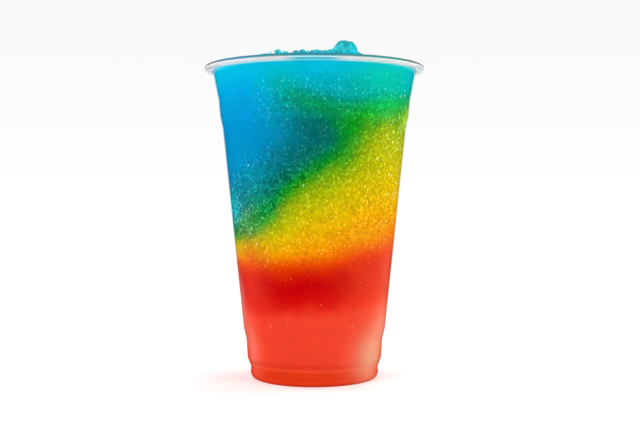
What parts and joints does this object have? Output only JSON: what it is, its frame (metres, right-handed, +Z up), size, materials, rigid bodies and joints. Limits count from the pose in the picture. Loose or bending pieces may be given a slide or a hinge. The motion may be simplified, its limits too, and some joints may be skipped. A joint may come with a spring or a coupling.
{
  "type": "frozen slush drink",
  "caption": "Frozen slush drink in slanting layers of red, yellow, green and blue, heaped just above the rolled rim of a clear tapered cup.",
  "frame": {"origin": "centre of the cup's foot, on the surface that it stands on", "axes": "+Z up along the cup's axis; the front, where the layers rise from the left to the right, faces -Y; +X to the right"},
  "size_m": [0.098, 0.098, 0.1479],
  "materials": {
    "cup": "clear glossy thin plastic",
    "red_slush": "wet, half-clear red melt with fine ice",
    "yellow_slush": "wet yellow to orange slush with pale ice grains",
    "green_slush": "wet green slush with pale ice grains",
    "blue_slush": "wet bright blue slush, craggy on top"
  },
  "bodies": {
    "root": {"cup": "cup", "red_slush": "red_slush", "yellow_slush": "yellow_slush", "green_slush": "green_slush", "blue_slush": "blue_slush"}
  },
  "joints": []
}
